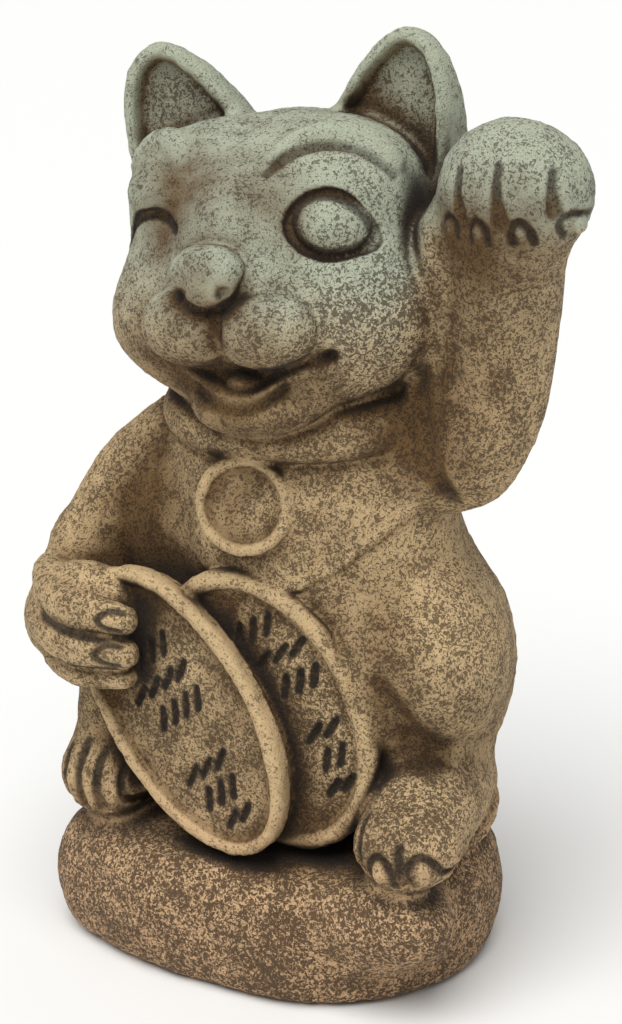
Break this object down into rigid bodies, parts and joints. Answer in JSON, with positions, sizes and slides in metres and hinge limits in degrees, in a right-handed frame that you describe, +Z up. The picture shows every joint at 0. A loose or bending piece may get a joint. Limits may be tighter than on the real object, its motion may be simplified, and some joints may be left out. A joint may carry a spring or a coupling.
{
  "type": "lucky cat figurine",
  "caption": "Seated beckoning cat of cast stone on a low mound, one paw raised beside its ear and the other holding oval coins.",
  "frame": {"origin": "middle of the figurine's footprint box, at the mound's flat underside", "axes": "+Z up; the cat faces -Y; +X is the cat's left, the side of the raised paw"},
  "size_m": [0.1842, 0.1222, 0.2961],
  "materials": {
    "stone": "rough cast stone with brown patina in the creases"
  },
  "bodies": {
    "root": {"lucky_cat": "stone"}
  },
  "joints": []
}
